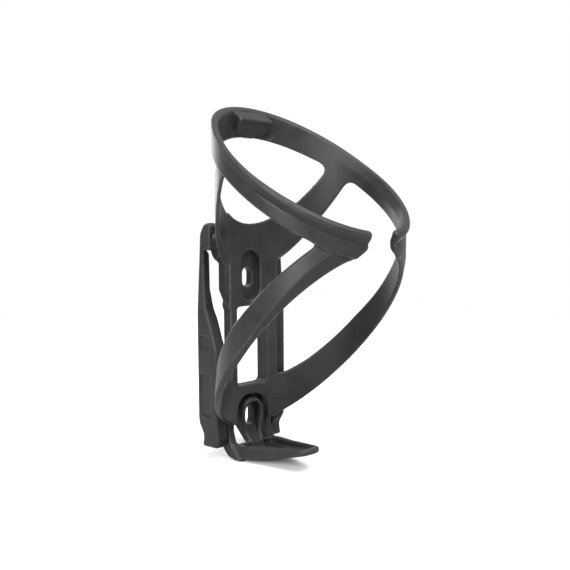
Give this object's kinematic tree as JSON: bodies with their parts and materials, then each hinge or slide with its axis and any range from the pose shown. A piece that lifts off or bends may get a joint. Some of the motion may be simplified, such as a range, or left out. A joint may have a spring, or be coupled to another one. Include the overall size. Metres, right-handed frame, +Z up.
{
  "type": "water bottle cage",
  "caption": "Moulded bicycle bottle cage: a tilted split ring on struts and arms, a slotted spine, a foot shelf, and a tyre lever clipped to each side.",
  "frame": {"origin": "midway between the two frame bolts, on the plane where the cage meets the bicycle frame", "axes": "+X from the frame towards the bottle, +Y to the left, +Z up along the bottle"},
  "size_m": [0.092, 0.0816, 0.158],
  "materials": {
    "cage_plastic": "satin, finely textured moulded nylon",
    "lever_plastic": "satin moulded nylon"
  },
  "bodies": {
    "cage": {"ring": "cage_plastic", "ring_lug": "cage_plastic", "strut_left": "cage_plastic", "strut_right": "cage_plastic", "arm_left": "cage_plastic", "arm_right": "cage_plastic", "upper_mount": "cage_plastic", "rail_left": "cage_plastic", "rail_right": "cage_plastic", "saddle": "cage_plastic", "lower_mount": "cage_plastic", "leg_left": "cage_plastic", "leg_right": "cage_plastic", "foot": "cage_plastic", "lever_hook_left": "cage_plastic", "lever_hook_right": "cage_plastic"},
    "lever_left": {"tyre_lever_left": "lever_plastic"},
    "lever_right": {"tyre_lever_right": "lever_plastic"}
  },
  "joints": [
    {"name": "lever_left_swing", "type": "hinge", "parent": "cage", "child": "lever_left", "pos_m": [0, 0.017, 0.0505], "axis": [1, 0, 0], "range_deg": [0, 30]},
    {"name": "lever_right_swing", "type": "hinge", "parent": "cage", "child": "lever_right", "pos_m": [0, -0.017, 0.0505], "axis": [-1, 0, 0], "range_deg": [0, 30]}
  ]
}
